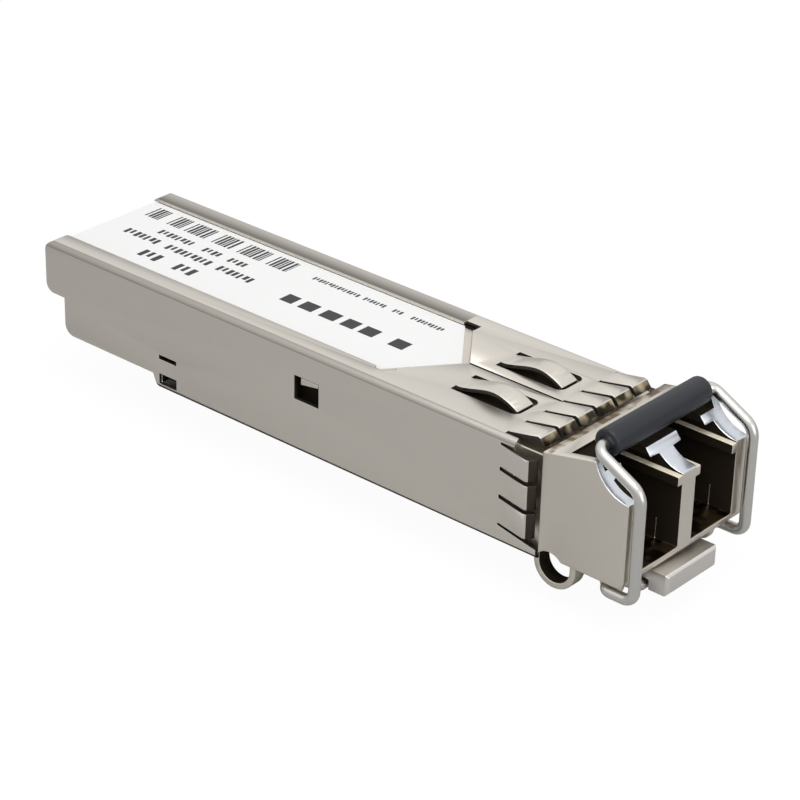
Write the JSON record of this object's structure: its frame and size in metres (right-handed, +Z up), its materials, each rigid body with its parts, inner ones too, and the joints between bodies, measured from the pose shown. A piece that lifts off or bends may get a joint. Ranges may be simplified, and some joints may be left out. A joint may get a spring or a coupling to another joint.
{
  "type": "sfp transceiver",
  "caption": "Pluggable optical transceiver: folded metal shell, cast nose with a duplex receptacle, shield fingers and a swinging bail latch.",
  "frame": {"origin": "the shoulder of the latch boss, on the centre line, in the plane of the shell's underside", "axes": "+X towards the optical ports along the direction of insertion reversed, +Y to the receiver side, +Z up through the label"},
  "size_m": [0.0575, 0.0144, 0.0132],
  "materials": {
    "zinc": "satin nickel plate on a zinc casting",
    "shell_plating": "satin nickel plate on folded sheet",
    "label_paper": "white matt label film",
    "board": "green solder mask",
    "gold": "gold plate",
    "chip": "black moulding",
    "ferrite": "dark grey",
    "ceramic_chip": "tan ceramic",
    "barrel_steel": "turned steel",
    "ceramic": "white zirconia",
    "can_steel": "bright steel",
    "flex_film": "amber film",
    "wire_steel": "bright drawn wire",
    "grip_plastic": "black satin",
    "slider_metal": "satin nickel plate"
  },
  "bodies": {
    "case": {"housing": "zinc", "shell": "shell_plating", "label": "label_paper", "pcb": "board", "contacts_top": "gold", "contacts_bottom": "gold", "driver_chip": "chip", "amplifier_chip": "chip", "controller_chip": "chip", "memory_chip": "chip", "filter_coils": "ferrite", "capacitors": "ceramic_chip", "transmitter_barrel": "barrel_steel", "receiver_barrel": "barrel_steel", "transmitter_stub": "ceramic", "receiver_stub": "ceramic", "transmitter_can": "can_steel", "receiver_can": "can_steel", "transmitter_flex": "flex_film", "receiver_flex": "flex_film", "clamp_plate": "can_steel"},
    "bail": {"bail_wire": "wire_steel", "bail_grip": "grip_plastic"},
    "release": {"release_slider": "slider_metal"}
  },
  "joints": [
    {"name": "bail_swing", "type": "hinge", "parent": "case", "child": "bail", "pos_m": [0.0094, 0, -0.00005], "axis": [0, 1, 0], "range_deg": [0, 90]},
    {"name": "slider_release", "type": "slide", "parent": "case", "child": "release", "axis": [1, 0, 0], "range_m": [-0.0017, 0]}
  ],
  "couplings": [
    {"joint": "bail_swing", "follows": "slider_release", "rad_per_m": -924}
  ]
}
